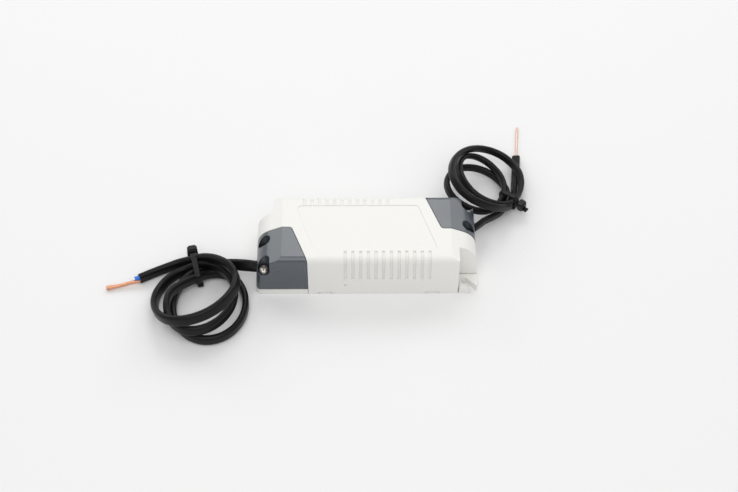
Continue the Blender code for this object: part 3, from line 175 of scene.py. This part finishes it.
def on_turn(turn, degrees):
    """A point of a turn, in millimetres, at an angle about its centre."""
    angle = math.radians(degrees - turn.turned)
    half_x, half_y = turn.axes
    reach = 1.0 / math.hypot(math.cos(angle) / half_x, math.sin(angle) / half_y)
    dx = reach * math.cos(math.radians(degrees))
    dy = reach * math.sin(math.radians(degrees))
    level, rise_x, rise_y = turn.plane
    return (turn.centre[0] + dx, turn.centre[1] + dy, level + rise_x * dx + rise_y * dy)


def turn_normal(turn):
    _, rise_x, rise_y = turn.plane
    return Vector((-rise_x, -rise_y, 1.0)).normalized()


def ease(share):
    """1 at share 0, falling smoothly to 0 at share 1 and beyond."""
    share = min(max(share, 0.0), 1.0)
    return 1.0 - share * share * (3.0 - 2.0 * share)


def turn_marks(turn, before, after):
    """Marks of one turn, an oval that eases over to the knots before and after it."""
    cx, cy = turn.centre
    first = math.degrees(math.atan2(before[1] - cy, before[0] - cx))
    last = math.degrees(math.atan2(after[1] - cy, after[0] - cx)) + 360.0
    from_before = Vector(before) - Vector(on_turn(turn, first))
    from_after = Vector(after) - Vector(on_turn(turn, last))
    lean = math.radians(turn.lean)
    marks = []
    for k in range(TURN_STEPS + 1):
        degrees = first + (last - first) * k / TURN_STEPS
        leave = ease((degrees - first) / EASE_DEGREES)
        arrive = ease((last - degrees) / EASE_DEGREES)
        point = Vector(on_turn(turn, degrees)) + from_before * leave + from_after * arrive
        inward = Vector((cx - point.x, cy - point.y, 0.0)).normalized()
        wide = turn_normal(turn) * math.cos(lean) + inward * math.sin(lean)
        marks.append((tuple(point), wide.lerp(UP, max(leave, arrive))))
    return marks


def smooth_curve(points, spacing):
    """Points at an even spacing on a smooth curve through the given ones."""
    times = [0.0]
    for a, b in zip(points, points[1:]):
        times.append(times[-1] + max((b - a).length, 1e-9))
    last = len(points) - 1
    slopes = []
    for i in range(last + 1):
        a, b = max(i - 1, 0), min(i + 1, last)
        slopes.append((points[b] - points[a]) / (times[b] - times[a]))
    out = [points[0].copy()]
    for i in range(last):
        span = times[i + 1] - times[i]
        count = max(1, round(span / spacing))
        for k in range(1, count + 1):
            t = k / count
            out.append(points[i] * (2 * t ** 3 - 3 * t ** 2 + 1)
                       + slopes[i] * span * (t ** 3 - 2 * t ** 2 + t)
                       + points[i + 1] * (3 * t ** 2 - 2 * t ** 3)
                       + slopes[i + 1] * span * (t ** 3 - t ** 2))
    return out


def smooth_route(marks):
    """Centre points and width directions of a flat lead, from (point in mm, direction) marks."""
    points = smooth_curve(in_metres(point for point, _ in marks), LEAD_SPACING)
    widths = []
    for (here, wide), (there, wide_there) in zip(marks, marks[1:]):
        count = max(1, round((Vector(there) - Vector(here)).length * MM / LEAD_SPACING))
        for k in range(count):
            widths.append(wide.lerp(wide_there, 1.0 - ease(k / count)))
    widths.append(marks[-1][1])
    return points, widths


def heading(points, i):
    """The direction of a path at one of its points."""
    return (points[min(i + 1, len(points) - 1)] - points[max(i - 1, 0)]).normalized()


def ring(radius, sides):
    """A round profile."""
    angles = [2 * math.pi * k / sides for k in range(sides)]
    return [(radius * math.cos(angle), radius * math.sin(angle)) for angle in angles]


def lead_profile(width, thick):
    """A flat two-core sheath: two round ends joined by slightly waisted sides."""
    radius = thick / 2
    flat = width / 2 - radius
    outline = []
    for side in (1, -1):
        for k in range(LEAD_ROUND_STEPS + 1):
            angle = -math.pi / 2 + math.pi * k / LEAD_ROUND_STEPS
            outline.append((side * (flat + radius * math.cos(angle)),
                            side * radius * math.sin(angle)))
        outline.append((0.0, side * radius * LEAD_WAIST))
    return outline


def join_rows(bm, a, b):
    """Faces between two closed rows of vertices."""
    for k in range(len(a)):
        m = (k + 1) % len(a)
        bm.faces.new((a[k], a[m], b[m], b[k]))


def sweep(points, widths, profile):
    """Carry a closed profile along the points. Its first axis follows the width directions."""
    bm = bmesh.new()
    rows = []
    for i, point in enumerate(points):
        along = heading(points, i)
        wide = (widths[i] - along * widths[i].dot(along)).normalized()
        thin = along.cross(wide)
        rows.append([bm.verts.new(point + wide * u + thin * v) for u, v in profile])
    for a, b in zip(rows, rows[1:]):
        join_rows(bm, a, b)
    bm.faces.new(rows[0])
    bm.faces.new(rows[-1])
    return bm


def link(name, bm, mat, smooth_degrees=SMOOTH_DEGREES):
    """Link a bmesh as a piece that rides on the case."""
    mesh = bpy.data.meshes.new(name)
    bmesh.ops.recalc_face_normals(bm, faces=bm.faces)
    bm.to_mesh(mesh)
    bm.free()
    mesh.materials.append(mat)
    mesh.shade_smooth()
    mesh.set_sharp_from_angle(angle=math.radians(smooth_degrees))
    obj = bpy.data.objects.new(name, mesh)
    bpy.context.scene.collection.objects.link(obj)
    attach(obj, BODY)
    return obj


# Materials

class Shader:
    """A small helper that wires nodes around one Principled BSDF."""

    def __init__(self, name, colour, roughness, metallic=0.0, gloss=0.5):
        self.mat = bpy.data.materials.new(name)
        self.mat.use_nodes = True
        self.tree = self.mat.node_tree
        self.bsdf = self.tree.nodes["Principled BSDF"]
        self.bsdf.inputs["Base Color"].default_value = (*colour, 1.0)
        self.bsdf.inputs["Roughness"].default_value = roughness
        self.bsdf.inputs["Metallic"].default_value = metallic
        self.bsdf.inputs["Specular IOR Level"].default_value = gloss
        self.place = self.node("ShaderNodeTexCoord").outputs["Object"]
        self.normal = self.bsdf.inputs["Normal"]

    def node(self, kind, **values):
        made = self.tree.nodes.new(kind)
        for key, value in values.items():
            setattr(made, key, value)
        return made

    def join(self, source, target):
        self.tree.links.new(source, target)

    def noise(self, scale, detail=3.0):
        made = self.node("ShaderNodeTexNoise")
        made.inputs["Scale"].default_value = scale
        made.inputs["Detail"].default_value = detail
        self.join(self.place, made.inputs["Vector"])
        return made.outputs["Fac"]

    def ramp(self, source, low, high):
        made = self.node("ShaderNodeMapRange")
        made.inputs["To Min"].default_value = low
        made.inputs["To Max"].default_value = high
        self.join(source, made.inputs["Value"])
        return made.outputs["Result"]

    def tint(self, source, dark, light):
        """Vary the base colour between two colours."""
        made = self.node("ShaderNodeMix", data_type="RGBA")
        made.inputs["A"].default_value = (*dark, 1.0)
        made.inputs["B"].default_value = (*light, 1.0)
        self.join(source, made.inputs["Factor"])
        self.join(made.outputs["Result"], self.bsdf.inputs["Base Color"])

    def roughen(self, source, low, high):
        self.join(self.ramp(source, low, high), self.bsdf.inputs["Roughness"])

    def bump(self, source, strength, depth):
        made = self.node("ShaderNodeBump")
        made.inputs["Strength"].default_value = strength
        made.inputs["Distance"].default_value = depth
        self.join(source, made.inputs["Height"])
        self.join(made.outputs["Normal"], self.normal)
        self.normal = made.inputs["Normal"]

    def soften_edges(self, radius):
        """Round the look of hard edges by a small radius, under the bump."""
        made = self.node("ShaderNodeBevel", samples=BEVEL_SAMPLES)
        made.inputs["Radius"].default_value = radius
        self.join(made.outputs["Normal"], self.normal)


def shade(colour, factor):
    return tuple(min(1.0, c * factor) for c in colour)


def moulded(name, colour, roughness, grain=0.12, gloss=0.5):
    """Moulded plastic: a fine spark-eroded grain, faint flow variation and softened edges."""
    s = Shader(name, colour, roughness, gloss=gloss)
    fine = s.noise(scale=2600.0, detail=2.0)
    broad = s.noise(scale=45.0, detail=2.0)
    s.tint(s.ramp(broad, 0.2, 0.8), shade(colour, 0.985), shade(colour, 1.015))
    s.roughen(broad, roughness - 0.05, roughness + 0.06)
    s.bump(fine, strength=grain, depth=0.02 * MM)
    s.soften_edges(0.25 * MM)
    return s.mat


def lead_sheath(name, colour=(0.0055, 0.0055, 0.0062)):
    """Soft cable sheath: slightly cloudy, with a fine grain."""
    s = Shader(name, colour, roughness=0.36, gloss=0.2)
    cloud = s.noise(scale=160.0)
    s.tint(cloud, shade(colour, 0.7), shade(colour, 1.5))
    s.roughen(cloud, 0.26, 0.42)
    s.bump(s.noise(scale=1500.0, detail=2.0), strength=0.15, depth=0.03 * MM)
    return s.mat


def nylon(name, colour=(0.007, 0.007, 0.008)):
    """Moulded nylon of the ties: satin, with uneven gloss."""
    s = Shader(name, colour, roughness=0.38, gloss=0.25)
    s.roughen(s.noise(scale=300.0), 0.3, 0.48)
    s.tint(s.noise(scale=90.0), shade(colour, 0.8), shade(colour, 1.4))
    s.bump(s.noise(scale=1800.0), strength=0.1, depth=0.02 * MM)
    s.soften_edges(0.15 * MM)
    return s.mat


def nickel(name, dark=(0.36, 0.33, 0.29), light=(0.54, 0.51, 0.47)):
    """Plated screws: warm grey metal, a little worn."""
    s = Shader(name, (0.46, 0.43, 0.39), roughness=0.26, metallic=1.0)
    s.tint(s.noise(scale=700.0), dark, light)
    s.roughen(s.noise(scale=900.0), 0.20, 0.38)
    s.bump(s.noise(scale=2400.0), strength=0.12, depth=0.02 * MM)
    s.soften_edges(0.12 * MM)
    return s.mat


def bare_metal(name, colour):
    """Bare copper or aluminium: mottled colour and gloss."""
    s = Shader(name, colour, roughness=0.34, metallic=1.0)
    s.tint(s.noise(scale=600.0), shade(colour, 0.75), shade(colour, 1.15))
    s.roughen(s.noise(scale=900.0), 0.26, 0.45)
    return s.mat


def glossy(name, colour, roughness=0.35):
    """Glossy plastic, resin or sleeve of an electronic part."""
    s = Shader(name, colour, roughness)
    s.tint(s.noise(scale=220.0), shade(colour, 0.88), shade(colour, 1.08))
    s.roughen(s.noise(scale=500.0), roughness - 0.08, roughness + 0.1)
    s.bump(s.noise(scale=1400.0), strength=0.06, depth=0.02 * MM)
    return s.mat


def board_laminate(name, bare=(0.02, 0.11, 0.05), coppered=(0.05, 0.24, 0.1)):
    """Green solder mask: raised copper areas with darker gaps between them."""
    s = Shader(name, (0.04, 0.2, 0.08), roughness=0.4)
    areas = s.node("ShaderNodeTexVoronoi", feature="DISTANCE_TO_EDGE")
    areas.inputs["Scale"].default_value = 190.0
    s.join(s.place, areas.inputs["Vector"])
    inside = s.node("ShaderNodeMath", operation="GREATER_THAN")
    inside.inputs[1].default_value = 0.08
    s.join(areas.outputs["Distance"], inside.inputs[0])
    s.tint(inside.outputs["Value"], bare, coppered)
    s.bump(inside.outputs["Value"], strength=0.3, depth=0.05 * MM)
    return s.mat


def wound(name, colour, pitch):
    """Enamelled wire or tape laid in turns: a fine ridged bump across the height, with painted
    shade darkening the colour in the hollows between turns.
    """
    s = Shader(name, colour, roughness=0.35)
    turn_ridges_and_shade = s.node("ShaderNodeTexWave", bands_direction="Z")
    turn_ridges_and_shade.inputs["Scale"].default_value = 1.0 / pitch
    s.join(s.place, turn_ridges_and_shade.inputs["Vector"])
    # Painted shade and highlight: the colour darkens to 0.6 of the winding's in the hollows between
    # the turns, where the bump is lowest, and lightens to 1.1 on their crests.
    s.tint(turn_ridges_and_shade.outputs["Fac"], shade(colour, 0.6), shade(colour, 1.1))
    s.bump(turn_ridges_and_shade.outputs["Fac"], strength=0.6, depth=0.1 * MM)
    return s.mat


def make_looks():
    return {
        "white": moulded("white_polycarbonate", (0.842, 0.834, 0.800), 0.42),
        "grey": moulded("grey_cover_plastic", (0.051, 0.065, 0.080), 0.28, grain=0.16, gloss=1.0),
        "screw": nickel("screw_nickel"),
        "board": board_laminate("board_laminate"),
        "terminal": glossy("terminal_green", (0.05, 0.33, 0.13)),
        "ferrite": glossy("ferrite_grey", (0.05, 0.05, 0.055), 0.6),
        "winding": wound("enamelled_winding", (0.62, 0.24, 0.08), 0.5 * MM),
        "tape": wound("winding_tape", (0.85, 0.6, 0.07), 2.2 * MM),
        "package": glossy("moulded_package", (0.02, 0.02, 0.022), 0.5),
        "film": glossy("film_box_yellow", (0.85, 0.62, 0.12)),
        "disc_red": glossy("dipped_red", (0.45, 0.05, 0.03)),
        "disc_blue": glossy("dipped_blue", (0.05, 0.2, 0.5)),
        "sleeve": glossy("capacitor_sleeve", (0.03, 0.035, 0.055), 0.3),
        "sink": bare_metal("sheet_aluminium", (0.78, 0.79, 0.8)),
        "blue": glossy("core_blue", (0.03, 0.2, 0.82)),
        "brown": glossy("core_brown", (0.16, 0.06, 0.025)),
        "core_black": glossy("core_black", (0.02, 0.02, 0.022)),
        "lead": lead_sheath("black_lead_sheath"),
        "tie": nylon("black_nylon"),
        "copper": bare_metal("bare_copper", (0.83, 0.42, 0.26)),
        "pale_copper": bare_metal("bare_copper_pale", (0.97, 0.66, 0.55)),
    }


def dress_case(nodes, looks):
    """Give every kept CAD node its finish."""
    finishes = {
        "white": ["top_housing", "base_tray"],
        "grey": ["input_cover", "output_cover"],
        "screw": ["input_cover_screw_inner", "input_cover_screw_outer",
                  "output_cover_screw_inner", "output_cover_screw_outer"],
        "board": ["circuit_board"],
        "terminal": ["input_terminal_block", "output_terminal_block"],
        "ferrite": ["choke_core", "transformer_core", "output_choke"],
        "winding": ["choke_winding_left", "choke_winding_right"],
        "tape": ["transformer_bobbin"],
        "package": ["fuse", "bridge_rectifier", "switching_transistor", "controller_chip",
                    "optocoupler", "output_diode"],
        "film": ["x_capacitor"],
        "disc_red": ["varistor"],
        "disc_blue": ["y_capacitor"],
        "sleeve": ["bulk_capacitor", "output_capacitor_front", "output_capacitor_rear"],
        "sink": ["heat_sink"],
        "blue": ["input_core_front"],
        "brown": ["input_core_rear"],
        "core_black": ["output_core_front", "output_core_rear"],
    }
    for look, names in finishes.items():
        for name in names:
            mesh = nodes[name].data
            mesh.materials.clear()
            mesh.materials.append(looks[look])


# Leads

def lead_marks(lead):
    """Marks of a whole lead: the start, the turns from knot to knot under the tie, then the end."""
    marks = []
    for i, point in enumerate(lead["start"]):
        stood = min(1.0, max(0.0, (i - LAST_FLAT_MARK) / (lead["upright"] - LAST_FLAT_MARK)))
        marks.append((point, lead["start_wide"].lerp(UP, stood)))
    for i, turn in enumerate(lead["turns"]):
        made = turn_marks(turn, lead["knots"][i], lead["knots"][i + 1])
        marks += made if i == 0 else made[1:]
    for i, point in enumerate(lead["end"]):
        marks.append((point, UP.lerp(lead["end_wide"], (i + 1) / len(lead["end"]))))
    return marks


def rested(marks, width, thick):
    """Raise the marks whose strand would reach below the floor."""
    out = []
    for (x, y, z), wide in marks:
        upright = wide.normalized().z
        lying = math.sqrt(max(0.0, 1.0 - upright * upright))
        reach = (width * abs(upright) + thick * lying) / 2 / MM
        out.append(((x, y, max(z, reach + FLOOR_GAP)), wide))
    return out


def knot_rows_of(place, knots):
    """The path's point nearest to each knot, in the order of the knots."""
    rows = []
    for knot in knots:
        off = np.linalg.norm(place - np.array(knot) * MM, axis=1)
        off[:rows[-1] + KNOT_POINTS_APART if rows else 0] = np.inf
        rows.append(int(np.argmin(off)))
    return rows


def part_strands(points, widths, knots, size):
    """Move the upper one of two strands that pass too close towards the camera until they clear.

    A later turn is the upper one. The start, before the first knot, and the end, after the last,
    lie below the turns.
    """
    width, thick = size
    place = np.array([list(p) for p in points])
    across = np.array([list(w.normalized()) for w in widths]) * (width - thick) / 2
    along = np.concatenate([[0.0], np.cumsum(np.linalg.norm(np.diff(place, axis=0), axis=1))])
    knot_rows = knot_rows_of(place, knots)
    rank = np.zeros(len(place))
    for turn, (first, last) in enumerate(zip(knot_rows, knot_rows[1:])):
        rank[first:last] = turn + 1
    near, clear = TIE_REACH
    free = np.ones(len(place))
    for row in knot_rows:
        off = np.abs(along - along[row]) / MM
        free = np.minimum(free, np.clip((off - near) / (clear - near), 0.0, 1.0))
    other = np.abs(along[:, None] - along[None]) > PART_SAME_STRAND
    upper = other & (rank[:, None] > rank[None])
    sight = np.array([0.0, -math.cos(CAMERA_PITCH), math.sin(CAMERA_PITCH)])
    kernel = np.hanning(2 * PART_SMOOTH + 3)
    kernel /= kernel.sum()
    push = np.zeros(len(place))
    lift = push
    for _ in range(PART_ROUNDS):
        now = place + lift[:, None] * sight
        gap = np.full((len(place), len(place)), np.inf)
        for a in (-1, 1):
            for b in (-1, 1):
                apart = (now + a * across)[:, None] - (now + b * across)[None]
                gap = np.minimum(gap, np.linalg.norm(apart, axis=2))
        need = np.where(upper, np.maximum(thick - gap, 0.0), 0.0).max(axis=1) * free
        spread = [need[max(i - PART_SPREAD, 0):i + PART_SPREAD + 1].max() for i in range(len(need))]
        push = push + np.array(spread) * PART_SHARE
        lift = np.convolve(push, kernel, mode="same")
    return [p + Vector(sight * h) for p, h in zip(points, lift)]


def build_lead(name, lead, mat):
    """One lead, with the points and width directions that it follows."""
    size = lead["size"]
    points, widths = smooth_route(rested(lead_marks(lead), *size))
    points = part_strands(points, widths, lead["knots"], size)
    tube = sweep(points, widths, lead_profile(*size))
    return link(name, tube, mat), points, widths


def build_core(name, core, mat):
    """The insulated core that shows beyond the cut sheath."""
    path = smooth_curve(in_metres(core["route"]), CORE_SPACING)
    tube = sweep(path, [UP] * len(path), ring(core["radius"], CORE_SIDES))
    return link(name, tube, mat)


def build_wire(name, wire, mat):
    """Bare strands twisted together, spreading a little at the cut end."""
    path = smooth_curve(in_metres(wire["route"]), WIRE_SPACING)
    strand_radius = wire["radius"] * STRAND_SHARE
    profile = ring(strand_radius, STRAND_SIDES)
    whole = bmesh.new()
    for strand in range(wire["strands"]):
        points = []
        for i, point in enumerate(path):
            along = heading(path, i)
            side = along.cross(UP).normalized()
            top = side.cross(along)
            share = i / (len(path) - 1)
            angle = 2 * math.pi * (strand / wire["strands"] + wire["twists"] * share)
            flared = max(0.0, share - FLARE_FROM) / (1.0 - FLARE_FROM)
            spread = (wire["radius"] - strand_radius) * (1.0 + (wire["flare"] - 1.0) * flared)
            points.append(point + (side * math.cos(angle) + top * math.sin(angle)) * spread)
        part = sweep(points, [UP] * len(points), profile)
        mesh = bpy.data.meshes.new("strand")
        part.to_mesh(mesh)
        part.free()
        whole.from_mesh(mesh)
        bpy.data.meshes.remove(mesh)
    return link(name, whole, mat, WIRE_SMOOTH_DEGREES)


# Cable ties

def tie_loop(path, widths, size, centre, across):
    """A closed loop drawn tight round the strands where they cross the tie's plane."""
    width, thick = size
    side = UP.cross(across).normalized()
    middle = Vector(centre) * MM
    outline = []
    for (p, wide), q in zip(zip(path, widths), path[1:]):
        before, after = (p - middle).dot(across), (q - middle).dot(across)
        if before * after > 0 or (p - middle).length > TIE_SPAN:
            continue
        along = (q - p).normalized()
        wide = (wide - along * wide.dot(along)).normalized()
        for core in (-1, 1):
            spot = p + wide * core * (width - thick) / 2 - middle
            outline.append((spot.dot(side), spot.z))
    reach = thick / 2 + STRAP_GAP
    loop = []
    for k in range(TIE_STEPS):
        angle = 2 * math.pi * k / TIE_STEPS
        out = (math.cos(angle), math.sin(angle))
        far = max(outline, key=lambda spot: spot[0] * out[0] + spot[1] * out[1])
        point = middle + side * (far[0] + out[0] * reach) + UP * (far[1] + out[1] * reach)
        point.z = max(point.z, STRAP_GAP + FLOOR_GAP * MM)
        if not loop or (point - loop[-1]).length > STRAP_STEP_LEAST:
            loop.append(point)
    # The curve overlaps itself, so that the one full round taken from it closes smoothly
    dense = smooth_curve(loop[-2:] + loop + loop[:3], STRAP_SPACING)
    to_start = [(point - loop[0]).length for point in dense]
    first = min(range(len(dense)), key=to_start.__getitem__)
    again = min(range(first + STRAP_POINTS_LEAST, len(dense)), key=to_start.__getitem__)
    return dense[first:again]


def strap_loop(loop, across_all, width, thick):
    """A closed strap: a flat band with slanted edges carried round a loop."""
    half, edge = width / 2, thick * STRAP_EDGE
    profile = [(-half, 0.0), (-half + edge, -thick / 2), (half - edge, -thick / 2), (half, 0.0),
               (half - edge, thick / 2), (-half + edge, thick / 2)]
    bm = bmesh.new()
    rows = []
    count = len(loop)
    for i, point in enumerate(loop):
        along = (loop[(i + 1) % count] - loop[i - 1]).normalized()
        across = (across_all - along * across_all.dot(along)).normalized()
        out = across.cross(along)
        rows.append([bm.verts.new(point + across * u + out * v) for u, v in profile])
    for i in range(count):
        join_rows(bm, rows[i], rows[(i + 1) % count])
    return bm


def tie_block(block, axes):
    """A tapered block with rounded edges: a tie's head, or the strap's cut end."""
    width, depth, height = (side * MM for side in block["size"])
    bm = bmesh.new()
    bmesh.ops.create_cube(bm, size=1.0)
    for v in bm.verts:
        taper = HEAD_TAPER if v.co.z > 0 else 1.0
        v.co = Vector((v.co.x * width * taper, v.co.y * depth * taper, v.co.z * height))
    bmesh.ops.bevel(bm, geom=bm.edges[:], offset=min(width, depth, height) * HEAD_ROUNDING,
                    segments=HEAD_ROUND_STEPS, affect="EDGES")
    turned = Matrix(axes).transposed().to_4x4()
    place = Matrix.Translation(Vector(block["place"]) * MM)
    bmesh.ops.transform(bm, matrix=place @ turned, verts=bm.verts)
    return bm


def build_tie(name, tie, lead, path, widths, mat):
    """A tie's strap, head and cut end."""
    across, radial = Vector(tie["across"]).normalized(), Vector(tie["radial"]).normalized()
    axes = (across, radial, across.cross(radial))
    strap_width, strap_thick = (side * MM for side in tie["strap"])
    loop = tie_loop(path, widths, lead["size"], tie["centre"], across)
    forms = {
        "strap": strap_loop(loop, across, strap_width, strap_thick),
        "head": tie_block(tie["head"], axes),
        "stub": tie_block(tie["stub"], axes),
    }
    return [link(f"{name}_{part}", bm, mat) for part, bm in forms.items()]


# Camera, light and floor

def build_camera():
    forward = Vector((math.sin(CAMERA_YAW) * math.cos(CAMERA_PITCH),
                      math.cos(CAMERA_YAW) * math.cos(CAMERA_PITCH), -math.sin(CAMERA_PITCH)))
    right = Vector((math.cos(CAMERA_YAW), -math.sin(CAMERA_YAW), 0.0))
    up = right.cross(forward)
    side = right * math.cos(CAMERA_ROLL) + up * math.sin(CAMERA_ROLL)
    top = up * math.cos(CAMERA_ROLL) - right * math.sin(CAMERA_ROLL)
    data = bpy.data.cameras.new("camera")
    data.sensor_width = SENSOR_WIDTH
    data.lens = FOCAL_PIXELS / IMAGE_WIDTH * SENSOR_WIDTH
    camera = bpy.data.objects.new("camera", data)
    turned = Matrix((side, top, -forward)).transposed().to_4x4()
    camera.matrix_world = Matrix.Translation(CAMERA_AIM - forward * CAMERA_DISTANCE) @ turned
    bpy.context.scene.collection.objects.link(camera)
    bpy.context.scene.camera = camera


def build_world():
    world = bpy.data.worlds.new("world")
    world.use_nodes = True
    surround = world.node_tree.nodes["Background"]
    surround.inputs["Color"].default_value = (1.0, 1.0, 1.0, 1.0)
    surround.inputs["Strength"].default_value = WORLD_LEVEL
    bpy.context.scene.world = world
    bpy.context.scene.view_settings.view_transform = "Standard"


def build_lights():
    for name, light in LIGHTS.items():
        data = bpy.data.lights.new(name, "AREA")
        data.shape = "SQUARE"
        data.size = light["size"]
        data.energy = light["watts"]
        lamp = bpy.data.objects.new(name, data)
        lamp.location = light["place"]
        lamp.rotation_euler = (-Vector(light["place"])).to_track_quat("-Z", "Y").to_euler()
        bpy.context.scene.collection.objects.link(lamp)


def build_floor():
    bm = bmesh.new()
    bmesh.ops.create_grid(bm, x_segments=1, y_segments=1, size=FLOOR_HALF_SIZE)
    mesh = bpy.data.meshes.new("floor")
    bm.to_mesh(mesh)
    bm.free()
    mesh.materials.append(Shader("floor_paper", FLOOR_COLOUR, FLOOR_ROUGHNESS, gloss=0.0).mat)
    floor = bpy.data.objects.new("floor", mesh)
    floor.location.z = -FLOOR_DROP
    bpy.context.scene.collection.objects.link(floor)


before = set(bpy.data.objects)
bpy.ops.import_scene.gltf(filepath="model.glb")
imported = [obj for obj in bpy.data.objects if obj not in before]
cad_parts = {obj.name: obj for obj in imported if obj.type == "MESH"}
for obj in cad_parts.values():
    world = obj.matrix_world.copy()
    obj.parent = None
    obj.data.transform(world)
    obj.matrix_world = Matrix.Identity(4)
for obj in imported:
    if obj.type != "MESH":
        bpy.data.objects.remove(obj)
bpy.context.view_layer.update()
looks = make_looks()
dress_case(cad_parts, looks)
build_camera()
build_world()
build_lights()
build_floor()

sheath, black = looks["lead"], looks["tie"]
input_lead, input_path, input_widths = build_lead("input_lead_whole", INPUT_LEAD, sheath)
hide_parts("input_lead", "input_lead_coil", "input_lead_end")
output_lead, output_path, output_widths = build_lead("output_lead_whole", OUTPUT_LEAD, sheath)
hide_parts("output_lead", "output_lead_coil", "output_lead_end")

blue_stub = build_core("input_blue_stub", INPUT_CORE, looks["blue"])
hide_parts("input_blue_core")
input_wire = build_wire("input_twisted_wire", INPUT_WIRE, looks["copper"])
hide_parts("input_bare_wire")
output_wire = build_wire("output_twisted_wire", OUTPUT_WIRE, looks["pale_copper"])
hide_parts("output_bare_wire")

input_tie = build_tie("input_tie", INPUT_TIE, INPUT_LEAD, input_path, input_widths, black)
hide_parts("input_cable_tie")
output_tie = build_tie("output_tie", OUTPUT_TIE, OUTPUT_LEAD, output_path, output_widths, black)
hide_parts("output_cable_tie")
